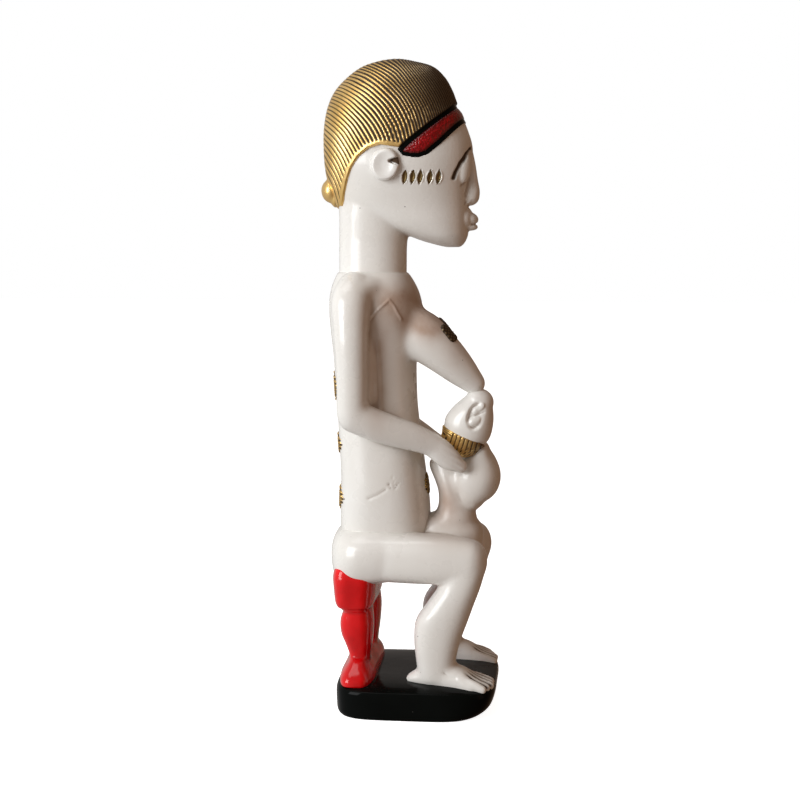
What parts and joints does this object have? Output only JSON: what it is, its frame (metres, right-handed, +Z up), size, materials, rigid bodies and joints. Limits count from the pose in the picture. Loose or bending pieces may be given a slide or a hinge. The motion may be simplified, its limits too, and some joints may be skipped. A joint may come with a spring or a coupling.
{
  "type": "fertility doll",
  "caption": "Carved and painted maternity figure: a mother on a stool, on a rounded plinth, nurses a child she holds in her hands.",
  "frame": {"origin": "middle of the plinth's underside, where it rests", "axes": "+X is the way the mother faces, +Y is her left, +Z is up"},
  "size_m": [0.1072, 0.0946, 0.3814],
  "materials": {
    "white_paint": "glossy white enamel brushed over carved wood",
    "gold_paint": "gold metallic paint over carved wood, dark in the grooves",
    "red_paint": "glossy red enamel over carved wood",
    "black_paint": "glossy black enamel over carved wood"
  },
  "bodies": {
    "root": {"base_plinth": "black_paint", "stool_foot": "red_paint", "stool_seat": "red_paint", "stool_leg_right": "red_paint", "stool_leg_left": "red_paint", "hips": "white_paint", "torso": "white_paint", "lap": "white_paint", "head": "white_paint", "neck": "white_paint", "right_ear": "white_paint", "left_ear": "white_paint", "right_thigh": "white_paint", "left_thigh": "white_paint", "right_shin": "white_paint", "left_shin": "white_paint", "right_foot": "white_paint", "left_foot": "white_paint", "right_upper_arm": "white_paint", "left_upper_arm": "white_paint", "right_forearm": "white_paint", "left_forearm": "white_paint", "right_hand": "white_paint", "left_hand": "white_paint", "right_breast": "white_paint", "left_breast": "white_paint", "child_head": "white_paint", "child_ear": "white_paint", "child_body": "white_paint", "child_leg_near": "white_paint", "child_leg_far": "white_paint", "hair": "gold_paint", "hair_knot": "gold_paint", "child_hair": "gold_paint", "back_scars_upper": "gold_paint", "back_scars_middle": "gold_paint", "back_scars_lower": "gold_paint", "navel_scars": "gold_paint", "right_breast_scars": "gold_paint", "left_breast_scars": "gold_paint", "headband": "red_paint", "headband_border": "black_paint"}
  },
  "joints": []
}
